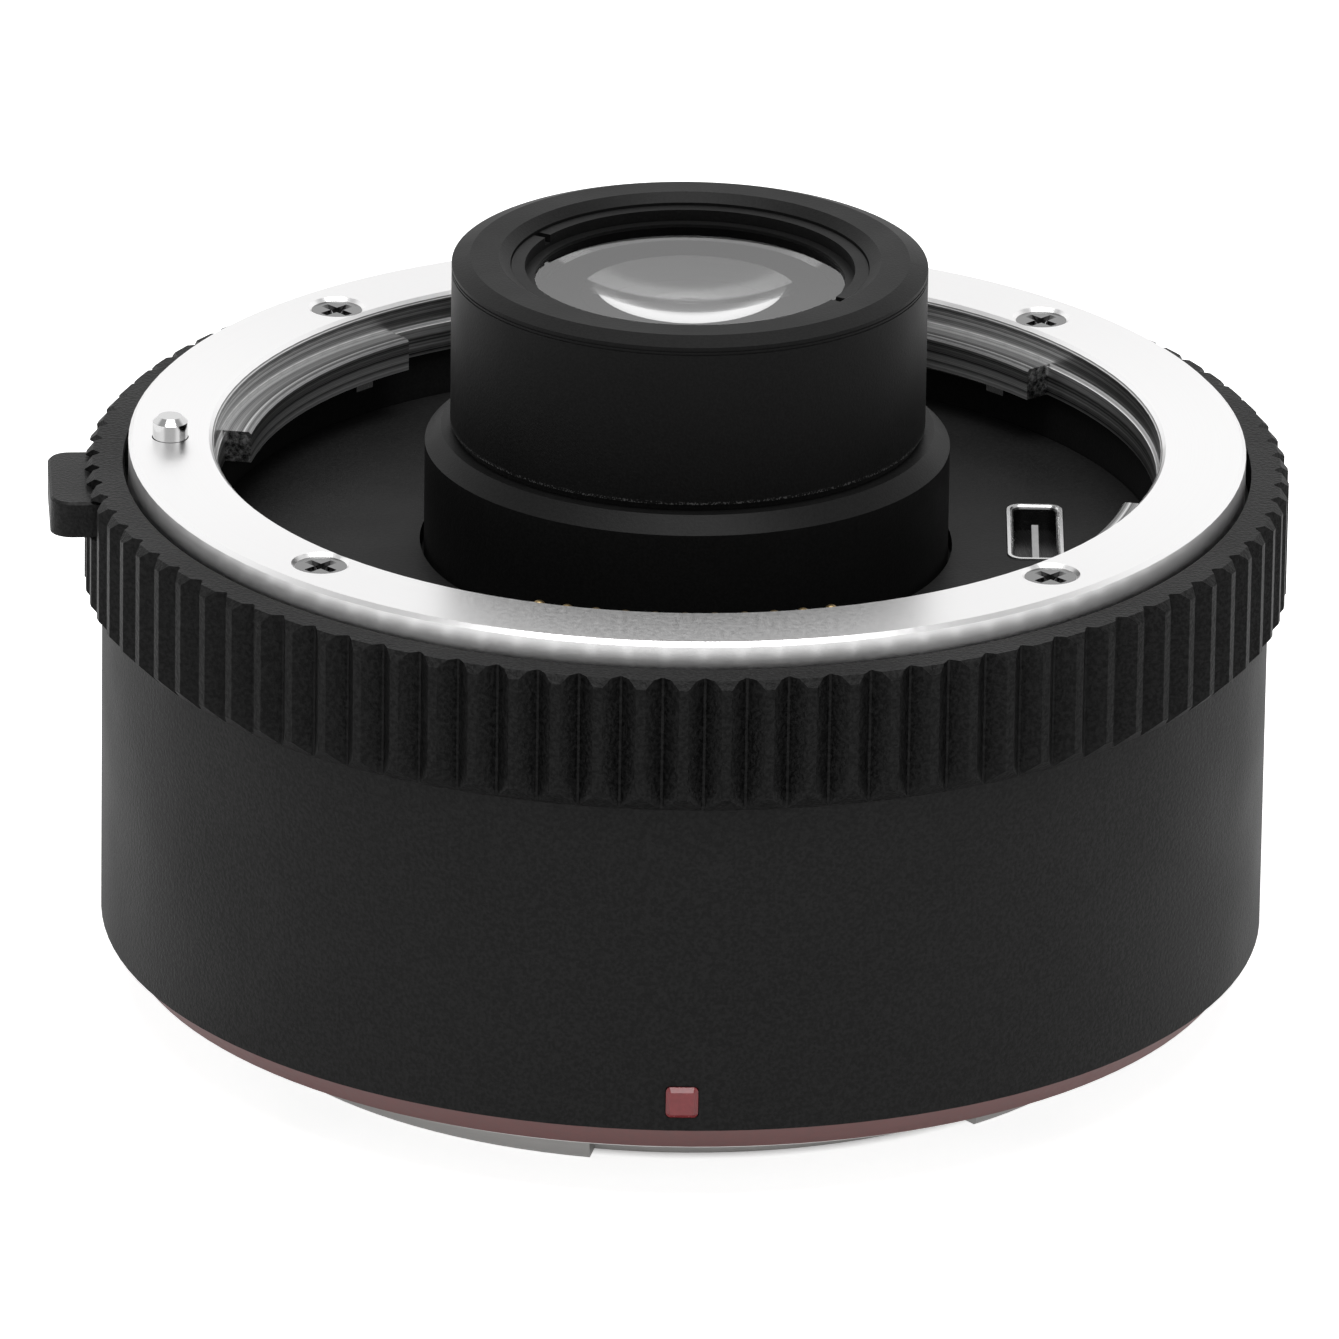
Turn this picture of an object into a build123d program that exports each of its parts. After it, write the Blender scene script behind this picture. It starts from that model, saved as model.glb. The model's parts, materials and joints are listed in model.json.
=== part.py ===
from build123d import *
from math import asin, cos, degrees, pi, radians, sin, sqrt
import os

# A 2x teleconverter for a four-lug mirrorless lens mount, in millimetres.
# The optical axis is Z. The rear seat, which meets the camera, is z = 0, and +Z points to the lens.
# Azimuths are in degrees about Z, from +X towards +Y. The index mark is on the -Y side.
os.makedirs("parts", exist_ok=True)

# General fits
running_gap = 0.05
assembly_gap = 0.1
cut_overrun = 1.0
edge_break = 0.15
side_angle = 0.5

# Distance between the two seats, and the throat that a lens enters: the sizes that the rest follows
mount_distance = 32.0
throat_radius = 28.1

# Front bayonet
throat_lip_step = 0.2
throat_lip_depth = 1.62
throat_chamfer = 0.3
flange_width = 5.3
flange_thickness = 3.6
flange_chamfer = 0.25
lug_height = 1.6
lug_thickness = 1.95
lug_span = 41.0
lug_root = 0.2
front_lug_azimuths = (150.4, 59.6, -32.0, -120.5)

# Outer barrel
neck_step = 0.3
neck_wall = 1.1
barrel_step = 1.25
rear_ledge_width = 4.1
rear_ledge_thickness = 2.2
mid_ledge_width = 2.1
mid_ledge_thickness = 1.5

# Knurled grip ring
grip_wall = 2.25
grip_height = 8.33
grip_setback = 1.5
grip_top_chamfer = 0.45
grip_base_chamfer = 1.0
groove_count = 90
groove_depth = 0.87
groove_land_share = 0.22
groove_valley_share = 0.06

# Countersunk mount screws
screw_radius = 0.85
screw_inset = 2.2
screw_head_radius = 1.55
screw_sink_step = 0.2
screw_head_depth = 0.2
screw_length = 6.6
screw_count = 4
screw_first_azimuth = 45.0
screw_tip = 0.3
recess_width = 0.55
recess_length = 2.2
recess_depth = 0.7

# Leaf springs under the lugs
leaf_thickness = 0.25
leaf_setback = 0.4
leaf_width = 2.3
leaf_span = 30.0
leaf_toe_span = 3.0
leaf_toe_height = 0.35

# Mount base, the ring that carries the front bayonet
base_wall_step = 0.35
base_ledge_width = 1.05
base_ledge_thickness = 1.06
base_height = 5.0

# Front baffle and its slot
baffle_thickness = 1.0
baffle_hole_gap = 0.25
slot_width = 3.35
slot_length = 9.1
slot_corner_radius = 0.9
slot_inset = 5.0
slot_y = 2.1
slot_wall = 0.4
slot_depth = 1.95
slot_rise = 0.08
slot_bevel = 0.2
tongue_width = 0.4
tongue_length = 5.8
tongue_height = 1.25
tongue_offset = 1.1

# Snout, with its collar and gasket
snout_radius = 14.2
snout_length = 10.3
snout_wall = 3.5
snout_chamfer_width = 1.1
snout_chamfer_height = 0.4
snout_mouth_step = 0.7
snout_mouth_bevel = 0.45
snout_neck_step = 0.65
snout_neck_gap = 0.2
snout_stop_step = 1.0
snout_stop_thickness = 1.2
snout_groove_depth = 0.05
snout_groove_height = 0.1
snout_groove_drop = 0.6
snout_groove_count = 2
collar_wall = 2.1
collar_height = 8.47
collar_chamfer = 0.95
gasket_width = 0.35
gasket_thickness = 0.43

# Lens cell inside the barrel
cell_step = 0.9
cell_wall = 3.4
cell_top_gap = 0.16
cell_flange_gap = 0.2
cell_flange_thickness = 1.0
cell_socket_depth = 3.3
cell_stop_step = 1.1
cell_stop_thickness = 1.0
cell_baffle_gap = 0.52

# Lens elements: rim thicknesses, and the radii of curvature of the surfaces, front to rear.
# A positive radius bulges towards the front. Cemented elements share their middle surface.
front_glass_drop = 1.5
front_clear_step = 1.45
rear_clear_step = 1.8
doublet_1_thicknesses = (2.0, 2.2)
doublet_1_curves = (-400.0, -24.0, -60.0)
doublet_2_thicknesses = (3.4, 1.9)
doublet_2_curves = (48.0, -29.0, -90.0)
doublet_3_thicknesses = (4.2, 1.3)
doublet_3_curves = (-46.0, 40.0, -52.0)
doublet_4_thicknesses = (3.6, 2.1)
doublet_4_curves = (45.0, -38.0, -120.0)
bond_curve_share = 0.04
spacer_1_length = 3.6
spacer_3_length = 3.6
spacer_wall = 1.25

# Retaining rings
ring_lip_height = 0.2
ring_lip_width = 0.6
front_ring_height = 0.9
rear_ring_height = 1.4
spanner_slot_width = 0.6
spanner_slot_depth = 0.5
front_slot_azimuth = 150.0

# Rear bayonet
rear_flange_thickness = 1.78
rear_flange_width = 6.7
shim_thickness = 0.1
lug_mating_gap = 0.25
rear_lug_height = 1.55
rear_lug_thickness = 1.35
rear_lug_span = 41.0
rear_lug_azimuths = (150.0, 60.0, -30.0, -121.2)
tube_wall = 1.4
tube_depth = 3.2
rear_screw_inset = 2.6
rear_screw_length = 3.4
lock_hole_radius = 1.25
lock_hole_depth = 1.1

# Red trim ring and index mark
trim_base = 0.25
trim_low_width = 0.4
index_size = 1.9
index_corner = 0.3
index_lift = 1.82
index_rise = 0.3
index_bevel = 0.25
index_sink = 0.4
index_azimuth = -89.6

# Rear cover and light baffle
cover_thickness = 0.9
cover_lap = 1.6
cover_rim_width = 3.2
cover_rim_thickness = 0.6
cover_sleeve_wall = 1.2
cover_sleeve_height = 3.1
rear_baffle_gap = 0.85
rear_baffle_thickness = 0.7
window_width = 21.0
window_height = 15.0
window_corner = 2.5

# Electrical contacts
contact_count = 11
contact_spacing = 1.76
contact_inset = 1.65
contact_azimuth = -90.0
block_gap = 0.3
block_width = 3.4
block_end_margin = 1.6
front_block_height = 3.44
rear_block_height = 3.4
pin_radius = 0.42
pin_bore_gap = 0.08
pin_shoulder_step = 0.2
pin_shoulder_height = 0.95
pin_rise = 0.9
pin_roof_thickness = 0.8
pad_length = 1.5
pad_width = 1.1
pad_thickness = 0.12

# Circuit board, its fixings and flat cables
board_cell_gap = 1.0
board_thickness = 1.0
board_spacer_height = 1.0
board_spacer_wall = 0.65
board_fixing_inset = 3.3
board_fixing_azimuth = 0.0
fixing_count = 3
small_screw_radius = 0.7
small_head_step = 0.5
small_head_height = 0.7
small_screw_grip = 0.8
cell_screw_inset = 0.55
cell_screw_azimuth = 90.0
chip_size = 5.0
chip_height = 0.9
chip_azimuth = 90.0
flex_width = 8.0
flex_thickness = 0.15
flex_gap = 0.35
rear_flex_inset = 0.75

# Lock pin: its head guides it in the flange, and its foot follows the lever's ramp
pin_azimuth = 182.0
lock_pin_inset = 2.8
lock_pin_radius = 1.05
lock_pin_rise = 1.35
lock_pin_travel = 1.4
lock_pin_bevel = 0.35
lock_head_drop = 2.15
stem_radius = 0.75
tail_radius = 0.6
tail_length = 0.55
foot_width = 2.6
foot_length = 2.2
foot_floor_gap = 2.1
pin_pocket_wall = 0.5

# Release lever, which turns about the optical axis
lever_turn = 5.5
lever_clearance = 0.15
lever_plate_thickness = 0.65
lever_lead_angle = 6.8
lever_trail_angle = 10.5
lever_tab_angle = 1.6
lever_tab_width = 8.6
lever_tab_height = 2.2
lever_tab_overhang = 2.15
lever_tab_root = 1.5
lever_tab_corner = 1.3
lever_tab_edge = 0.15
ramp_rail_width = 0.5
ramp_gap = 0.15
ramp_overlap = 0.04

# Coil springs of the pin and the lever
pin_spring_radius = 1.1
pin_spring_wire = 0.2
pin_spring_turns = 3
lever_spring_radius = 0.33
lever_spring_wire = 0.14
lever_spring_turns = 9
lever_spring_angle = 11.0
lever_spring_side_gap = 0.2

# Worked-out radii, from the throat outwards
throat_lip_radius = throat_radius + throat_lip_step
lug_inner_radius = throat_radius - lug_height
flange_radius = throat_radius + flange_width
screw_circle_radius = throat_radius + screw_inset
screw_hole_radius = screw_radius + running_gap
screw_sink_radius = screw_head_radius + screw_sink_step
lock_pin_circle_radius = throat_radius + lock_pin_inset
leaf_inner_radius = lug_inner_radius + leaf_setback
leaf_outer_radius = leaf_inner_radius + leaf_width
base_wall_radius = throat_radius + base_wall_step
base_ledge_radius = base_wall_radius - base_ledge_width
cell_screw_circle_radius = base_wall_radius + cell_screw_inset
neck_radius = flange_radius + neck_step
barrel_inner = neck_radius - neck_wall
barrel_radius = neck_radius + barrel_step
base_radius = barrel_inner - running_gap
rear_ledge_inner = barrel_inner - rear_ledge_width
mid_ledge_inner = barrel_inner - mid_ledge_width
cell_flange_radius = mid_ledge_inner - cell_flange_gap
grip_inner = neck_radius + running_gap
grip_radius = grip_inner + grip_wall

# Worked-out radii, from the throat inwards
rear_lug_radius = throat_radius - lug_mating_gap
tube_radius = rear_lug_radius - rear_lug_height
tube_inner = tube_radius - tube_wall
rear_flange_radius = tube_radius + rear_flange_width
rear_screw_circle_radius = rear_flange_radius - rear_screw_inset
block_outer_radius = tube_inner - block_gap
block_inner_radius = block_outer_radius - block_width
contact_radius = block_outer_radius - contact_inset
contact_pitch = degrees(contact_spacing / contact_radius)
block_span = degrees(((contact_count - 1) * contact_spacing + 2 * block_end_margin) / contact_radius)
pin_bore_radius = pin_radius + pin_bore_gap
pin_shoulder_radius = pin_radius + pin_shoulder_step
pin_counterbore_radius = pin_shoulder_radius + assembly_gap
rear_flex_radius = contact_radius - rear_flex_inset

# Worked-out radii of the snout and the lens cell
snout_bore_radius = snout_radius - snout_wall
snout_mouth_radius = snout_bore_radius + snout_mouth_step
snout_neck_radius = snout_radius - snout_neck_step
snout_stop_radius = snout_bore_radius - snout_stop_step
collar_inner = snout_neck_radius + running_gap
collar_radius = collar_inner + collar_wall
baffle_hole_radius = collar_radius + baffle_hole_gap
cell_radius = collar_radius + cell_step
cell_bore_radius = cell_radius - cell_wall
cell_stop_radius = cell_bore_radius - cell_stop_step
front_lens_radius = snout_bore_radius - running_gap
rear_lens_radius = cell_bore_radius - running_gap
front_clear_radius = snout_bore_radius - front_clear_step
rear_clear_radius = cell_bore_radius - rear_clear_step
sleeve_inner = cell_radius + running_gap
rear_baffle_radius = sleeve_inner - rear_baffle_gap
cover_opening_radius = rear_baffle_radius - cover_lap
board_inner_radius = cell_radius + board_cell_gap
board_outer_radius = base_ledge_radius - assembly_gap
board_fixing_radius = board_outer_radius - board_fixing_inset

# Worked-out levels, from the front seat down and from the rear seat up
flange_base = mount_distance - flange_thickness
lug_top = flange_base + lug_thickness
neck_top = flange_base
grip_top = mount_distance - grip_setback
grip_base = grip_top - grip_height
base_floor = flange_base - base_height
base_ledge_top = base_floor + base_ledge_thickness
baffle_top = base_ledge_top + baffle_thickness
cell_top = base_ledge_top - cell_top_gap
cell_flange_base = base_floor - cell_flange_thickness
socket_floor = cell_top - cell_socket_depth
cell_seat = socket_floor - cell_stop_thickness
collar_top = cell_top + collar_height
snout_shoulder = collar_top + gasket_thickness
snout_top = snout_shoulder + snout_length
snout_neck_bottom = socket_floor + snout_neck_gap
snout_stop_top = snout_neck_bottom + snout_stop_thickness
front_glass_top = snout_top - front_glass_drop
board_top = cell_flange_base - board_spacer_height
board_base = board_top - board_thickness
block_top = baffle_top + front_block_height
bayonet_top = rear_flange_thickness
barrel_base = bayonet_top + shim_thickness
cover_base = bayonet_top - cover_thickness
rear_block_base = cover_base - rear_block_height
cell_bottom = bayonet_top + rear_baffle_thickness + cell_baffle_gap

# Worked-out slits for the flat cables, and places on the baffle
flex_slit_width = flex_width + 2 * flex_gap
flex_slit_thickness = flex_thickness + 2 * flex_gap
slot_x = baffle_hole_radius + slot_inset

# Worked-out shape of the lever's ramp: its slope draws the pin down by its whole travel
lever_plate_top = flange_base - lever_clearance
lever_plate_base = lever_plate_top - lever_plate_thickness
lever_floor = lever_plate_base - lever_clearance
ramp_travel = lock_pin_circle_radius * sin(radians(lever_turn))
ramp_slope = lock_pin_travel / ramp_travel
ramp_back = foot_length / 2 + ramp_travel + ramp_overlap
stem_slot_half = stem_radius + assembly_gap
ramp_inner = lock_pin_circle_radius - stem_slot_half - ramp_rail_width
ramp_outer = lock_pin_circle_radius + stem_slot_half + ramp_rail_width
ramp_pocket_span = 2 * (degrees(ramp_back / ramp_inner) + side_angle)
pin_pocket_floor = base_floor + pin_pocket_wall
foot_base = pin_pocket_floor + foot_floor_gap

# Worked-out sweep of the lever's plate and tab, for the windows that they move in
lever_plate_inner = ramp_inner - running_gap
lever_plate_start = pin_azimuth - lever_lead_angle
lever_plate_span = lever_lead_angle + lever_trail_angle
plate_sweep_middle = pin_azimuth + (lever_trail_angle - lever_lead_angle - lever_turn) / 2
plate_sweep_span = lever_plate_span + lever_turn + 2 * side_angle
tab_azimuth = pin_azimuth + lever_tab_angle
tab_half_angle = degrees(asin(lever_tab_width / 2 / grip_inner))
tab_sweep_middle = tab_azimuth - lever_turn / 2
tab_sweep_span = 2 * tab_half_angle + lever_turn + 2 * side_angle
tab_top = lever_plate_base + lever_tab_height


def around(radius, azimuth, height=0.0):
    """The point at a radius and an azimuth."""
    return (radius * cos(radians(azimuth)), radius * sin(radians(azimuth)), height)


def turned(points, mode=Mode.ADD, place=Plane.XY, arc=360):
    """Turn a closed outline of (radius, height) points about the z axis of a plane."""
    side = Plane(origin=place.origin, x_dir=place.x_dir, z_dir=-place.y_dir)
    with BuildSketch(side) as outline:
        with BuildLine():
            Polyline(*points, close=True)
        make_face()
    return revolve(outline.sketch, axis=Axis(place.origin, place.z_dir), revolution_arc=arc, mode=mode)


def box_outline(inner, outer, low, high):
    """The corners of a rectangular section."""
    return ((inner, low), (outer, low), (outer, high), (inner, high))


def plain_ring(inner, outer, low, high, mode=Mode.ADD):
    """A ring of rectangular section."""
    return turned(box_outline(inner, outer, low, high), mode)


def facing(azimuth, height=0.0):
    """A level plane on the optical axis whose x points along an azimuth."""
    return Plane(origin=(0, 0, height), x_dir=around(1, azimuth), z_dir=(0, 0, 1))


def sector(inner, outer, low, high, centre, span, mode=Mode.ADD):
    """A ring sector centred on an azimuth."""
    return turned(box_outline(inner, outer, low, high), mode, facing(centre - span / 2), span)


def level_at(radius, azimuth, height):
    """A level plane at a radius and an azimuth, with x pointing away from the optical axis."""
    return Plane(origin=around(radius, azimuth, height), x_dir=around(1, azimuth), z_dir=(0, 0, 1))


def ring_azimuths(count, first):
    """Azimuths of a full circle of fixings."""
    return [first + 360 * index / count for index in range(count)]


def contact_azimuths():
    """Azimuths of the row of contacts, from one end to the other."""
    middle = (contact_count - 1) / 2
    return [contact_azimuth + (index - middle) * contact_pitch for index in range(contact_count)]


def biarc_path(points, tangents):
    """Join points by pairs of tangent arcs, so that the line has no kinks."""
    edges = []
    for start, end, t0, t1 in zip(points, points[1:], tangents, tangents[1:]):
        chord = end - start
        open_share = 2 * (1 - t0.dot(t1))
        along = chord.dot(t0 + t1)
        reach = (sqrt(along * along + open_share * chord.dot(chord)) - along) / open_share
        joint = (start + end + (t0 - t1) * reach) * 0.5
        middle = (end - t1 * reach - start - t0 * reach).normalized()
        edges.append(Edge.make_tangent_arc(start, t0, joint))
        edges.append(Edge.make_tangent_arc(joint, middle, end))
    return Wire(edges)


def least_gap(path, turns, wire):
    """The least clear distance between one turn and another, measured on points."""
    per_turn = 24
    samples = [path.position_at(step / (turns * per_turn)) for step in range(turns * per_turn + 1)]
    apart = [(later - earlier).length for index, earlier in enumerate(samples)
             for later in samples[index + per_turn // 2:]]
    return min(apart) - wire


def coil(name, radius, wire, turns, length, place):
    """A coil spring of round wire, which runs along the z axis of a plane between two faces."""
    rise = (length - wire) / turns
    points, tangents = [], []
    for step in range(4 * turns + 1):
        angle = step * pi / 2
        spot = Vector(radius * cos(angle), radius * sin(angle), wire / 2 + rise * step / 4)
        heading = Vector(-radius * sin(angle), radius * cos(angle), rise / (2 * pi)).normalized()
        points.append(place.from_local_coords(spot))
        tangents.append(place.from_local_coords(spot + heading) - points[-1])
    path = biarc_path(points, tangents)
    print(name, "least gap", round(least_gap(path, turns, wire), 3), "mm")
    with BuildSketch(Plane(origin=points[0], z_dir=tangents[0])) as section:
        Circle(wire / 2)
    return sweep(section.sketch, path=path, mode=Mode.PRIVATE)


def cap_height(curve, clear):
    """Height of a spherical cap over its rim, positive when it bulges to the front."""
    sag = abs(curve) - sqrt(curve * curve - clear * clear)
    return sag if curve > 0 else -sag


def lens_element(radius, clear, top, bottom, front_curve, rear_curve):
    """A lens element with flat rims and a spherical surface inside them on each side."""
    front_sag = cap_height(front_curve, clear)
    rear_sag = cap_height(rear_curve, clear)
    front_half = front_sag - cap_height(front_curve, clear / 2)
    rear_half = rear_sag - cap_height(rear_curve, clear / 2)
    with BuildSketch(Plane.XZ) as outline:
        with BuildLine():
            Line((0, bottom + rear_sag), (0, top + front_sag))
            ThreePointArc((0, top + front_sag), (clear / 2, top + front_half), (clear, top))
            Polyline((clear, top), (radius, top), (radius, bottom), (clear, bottom))
            ThreePointArc((clear, bottom), (clear / 2, bottom + rear_half), (0, bottom + rear_sag))
        make_face()
    return revolve(outline.sketch, axis=Axis.Z)


def doublet(radius, clear, top, thicknesses, curves):
    """Two cemented elements. The bonded faces meet at the rim, a hair apart in the middle."""
    seam = top - thicknesses[0]
    bonded_curve = curves[1] + bond_curve_share * abs(curves[1])
    front = lens_element(radius, clear, top, seam, curves[0], curves[1])
    rear = lens_element(radius, clear, seam, seam - thicknesses[1], bonded_curve, curves[2])
    return front, rear


def countersunk_screw(place, length):
    """A countersunk cross-head screw, with its head's top on a plane, pointing down its z axis."""
    cone_depth = screw_head_radius - screw_radius
    with BuildPart(mode=Mode.PRIVATE) as recess:
        with BuildSketch():
            Rectangle(recess_length, recess_width)
            Rectangle(recess_width, recess_length)
        extrude(amount=-recess_depth)
        turned(((0, 0), (recess_length / 2, 0), (recess_length / 2 - recess_depth, -recess_depth),
                (0, -recess_depth)), Mode.INTERSECT)
    with BuildPart(mode=Mode.PRIVATE) as screw:
        turned(((0, 0), (screw_head_radius, 0), (screw_radius, -cone_depth),
                (screw_radius, screw_tip - length), (screw_radius - screw_tip, -length),
                (0, -length)))
        add(recess.part, mode=Mode.SUBTRACT)
    return place * screw.part


def small_screw(place, length):
    """A slotted screw, with its head below a plane and its shank up along the z axis."""
    with BuildPart(mode=Mode.PRIVATE) as screw:
        turned(((0, -small_head_height), (small_screw_radius + small_head_step, -small_head_height),
                (small_screw_radius + small_head_step, 0), (small_screw_radius, 0), (small_screw_radius, length),
                (0, length)))
        with BuildSketch(Plane.XY.offset(-small_head_height)) as slot:
            Rectangle(2 * (small_screw_radius + small_head_step), recess_width)
        extrude(slot.sketch, amount=small_head_height / 2, mode=Mode.SUBTRACT)
    return place * screw.part


# Outer barrel: the black shell, with a neck for the grip ring and two inner ledges
rear_ledge_top = barrel_base + rear_ledge_thickness
mid_ledge_base = base_floor - mid_ledge_thickness
index_height = barrel_base + index_lift
index_plane = Plane(origin=around(barrel_radius + index_rise, index_azimuth, index_height),
                    x_dir=around(1, index_azimuth + 90), z_dir=around(1, index_azimuth))
with BuildPart() as outer_barrel:
    turned(((rear_ledge_inner, barrel_base), (barrel_radius, barrel_base),
            (barrel_radius, grip_base), (neck_radius, grip_base), (neck_radius, neck_top),
            (barrel_inner, neck_top), (barrel_inner, base_floor), (mid_ledge_inner, base_floor),
            (mid_ledge_inner, mid_ledge_base), (barrel_inner, mid_ledge_base),
            (barrel_inner, rear_ledge_top), (rear_ledge_inner, rear_ledge_top)))
    # Window in the neck for the release lever
    sector(barrel_inner - cut_overrun, neck_radius + cut_overrun, lever_floor,
           neck_top + cut_overrun, plate_sweep_middle, plate_sweep_span, Mode.SUBTRACT)
    with BuildSketch(Plane.XY.offset(barrel_base)):
        with PolarLocations(rear_screw_circle_radius, screw_count, start_angle=screw_first_azimuth):
            Circle(screw_hole_radius)
    extrude(amount=rear_ledge_thickness, mode=Mode.SUBTRACT)
    with BuildSketch(index_plane):
        RectangleRounded(index_size + 2 * running_gap, index_size + 2 * running_gap, index_corner)
    extrude(amount=-(index_rise + index_sink), mode=Mode.SUBTRACT)
outer_barrel.part.label = "outer_barrel"
export_step(outer_barrel.part, "parts/outer_barrel.step")

# Index mark: a raised square that follows the barrel's curve
with BuildPart() as index_mark:
    plain_ring(barrel_radius - 2 * index_sink, barrel_radius + index_rise,
               index_height - index_size, index_height + index_size)
    with BuildSketch(index_plane):
        RectangleRounded(index_size, index_size, index_corner)
    extrude(amount=-(index_rise + index_sink), mode=Mode.INTERSECT)
    chamfer(index_mark.faces().sort_by_distance(index_plane.origin)[0].edges(), index_bevel)
index_mark.part.label = "index_mark"
export_step(index_mark.part, "parts/index_mark.step")

# Grip ring: a star of narrow lands and deep grooves, cut to a chamfered ring
pitch_angle = 360 / groove_count
groove_half = pitch_angle * (1 - groove_land_share) / 2
valley_half = pitch_angle * groove_valley_share / 2
valley_radius = grip_radius - groove_depth
knurl_points = []
for groove in range(groove_count):
    middle = groove * pitch_angle
    knurl_points.append(around(grip_radius, middle - groove_half)[:2])
    knurl_points.append(around(valley_radius, middle - valley_half)[:2])
    knurl_points.append(around(valley_radius, middle + valley_half)[:2])
    knurl_points.append(around(grip_radius, middle + groove_half)[:2])
with BuildPart() as grip_ring:
    turned(((grip_inner, grip_base), (grip_radius - grip_base_chamfer, grip_base),
            (grip_radius, grip_base + grip_base_chamfer), (grip_radius, grip_top - grip_top_chamfer),
            (grip_radius - grip_top_chamfer, grip_top), (grip_inner, grip_top)))
    with BuildSketch(Plane.XY.offset(grip_base)):
        with BuildLine():
            Polyline(*knurl_points, close=True)
        make_face()
    extrude(amount=grip_height, mode=Mode.INTERSECT)
    # Window for the release lever
    sector(grip_inner - cut_overrun, grip_radius + cut_overrun, lever_floor,
           tab_top + lever_clearance, tab_sweep_middle, tab_sweep_span, Mode.SUBTRACT)
grip_ring.part.label = "grip_ring"
export_step(grip_ring.part, "parts/grip_ring.step")

# Front bayonet: the polished flange, with four inner lugs, screw sinks and the lock pin's hole
with BuildPart() as front_bayonet:
    turned(((throat_radius, flange_base), (flange_radius, flange_base),
            (flange_radius, mount_distance - flange_chamfer),
            (flange_radius - flange_chamfer, mount_distance),
            (throat_lip_radius + throat_chamfer, mount_distance),
            (throat_lip_radius, mount_distance - throat_chamfer),
            (throat_lip_radius, mount_distance - throat_lip_depth),
            (throat_radius, mount_distance - throat_lip_depth - throat_lip_step)))
    for azimuth in front_lug_azimuths:
        turned(((lug_inner_radius, flange_base), (throat_radius + lug_root, flange_base),
                (throat_radius + lug_root, lug_top), (lug_inner_radius + edge_break, lug_top),
                (lug_inner_radius, lug_top - edge_break)),
               place=facing(azimuth - lug_span / 2), arc=lug_span)
    with Locations(Plane.XY.offset(mount_distance)):
        with PolarLocations(screw_circle_radius, screw_count, start_angle=screw_first_azimuth):
            CounterSinkHole(screw_hole_radius, screw_sink_radius, counter_sink_angle=90)
    with Locations(level_at(lock_pin_circle_radius, pin_azimuth, mount_distance)):
        Hole(lock_pin_radius + running_gap)
front_bayonet.part.label = "front_bayonet"
export_step(front_bayonet.part, "parts/front_bayonet.step")

# Front mount screws
screw_seat = mount_distance - screw_head_depth
with BuildPart() as front_bayonet_screws:
    for azimuth in ring_azimuths(screw_count, screw_first_azimuth):
        add(countersunk_screw(level_at(screw_circle_radius, azimuth, screw_seat), screw_length))
front_bayonet_screws.part.label = "front_bayonet_screws"
export_step(front_bayonet_screws.part, "parts/front_bayonet_screws.step")

# Leaf springs under the lugs, each with a toe at both ends
leaf_base = flange_base - leaf_thickness
toe_base = leaf_base - leaf_toe_height
toe_shift = (leaf_span - leaf_toe_span) / 2
with BuildPart() as bayonet_springs:
    for azimuth in front_lug_azimuths:
        sector(leaf_inner_radius, leaf_outer_radius, leaf_base, flange_base, azimuth, leaf_span)
        for toe in (azimuth - toe_shift, azimuth + toe_shift):
            sector(leaf_inner_radius, leaf_outer_radius, toe_base, leaf_base, toe, leaf_toe_span)
bayonet_springs.part.label = "bayonet_springs"
export_step(bayonet_springs.part, "parts/bayonet_springs.step")

# Mount base: carries the front bayonet, the springs, the lever and the pin
screw_bottom = screw_seat - screw_length
lever_spring_room = lever_spring_radius + lever_spring_wire / 2 + lever_spring_side_gap
lever_spring_start = lever_plate_start - lever_spring_angle
with BuildPart() as mount_base:
    turned(((base_wall_radius, base_ledge_top), (base_wall_radius, flange_base),
            (base_radius, flange_base), (base_radius, base_floor),
            (base_ledge_radius, base_floor), (base_ledge_radius, base_ledge_top)))
    for azimuth in front_lug_azimuths:
        sector(base_wall_radius - cut_overrun, leaf_outer_radius + running_gap,
               toe_base - running_gap, flange_base + cut_overrun, azimuth,
               leaf_span + 2 * side_angle, Mode.SUBTRACT)
    with BuildSketch(Plane.XY.offset(flange_base)):
        with PolarLocations(screw_circle_radius, screw_count, start_angle=screw_first_azimuth):
            Circle(screw_hole_radius)
    extrude(amount=screw_bottom - screw_tip - flange_base, mode=Mode.SUBTRACT)
    # Pockets for the lever's plate, for its ramp with the pin's foot, and for its spring
    sector(lever_plate_inner - lever_clearance, base_radius + cut_overrun, lever_floor,
           flange_base + cut_overrun, plate_sweep_middle, plate_sweep_span, Mode.SUBTRACT)
    sector(ramp_inner - lever_clearance, base_radius + cut_overrun, pin_pocket_floor,
           flange_base, pin_azimuth, ramp_pocket_span, Mode.SUBTRACT)
    sector(lock_pin_circle_radius - lever_spring_room, lock_pin_circle_radius + lever_spring_room,
           lever_floor, flange_base + cut_overrun, lever_spring_start + lever_spring_angle / 2,
           lever_spring_angle, Mode.SUBTRACT)
    # Blind holes for the lens cell's screws
    with BuildSketch(Plane.XY.offset(base_floor)):
        with PolarLocations(cell_screw_circle_radius, fixing_count, start_angle=cell_screw_azimuth):
            Circle(small_screw_radius + running_gap)
    extrude(amount=small_screw_grip, mode=Mode.SUBTRACT)
mount_base.part.label = "mount_base"
export_step(mount_base.part, "parts/mount_base.step")

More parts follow.
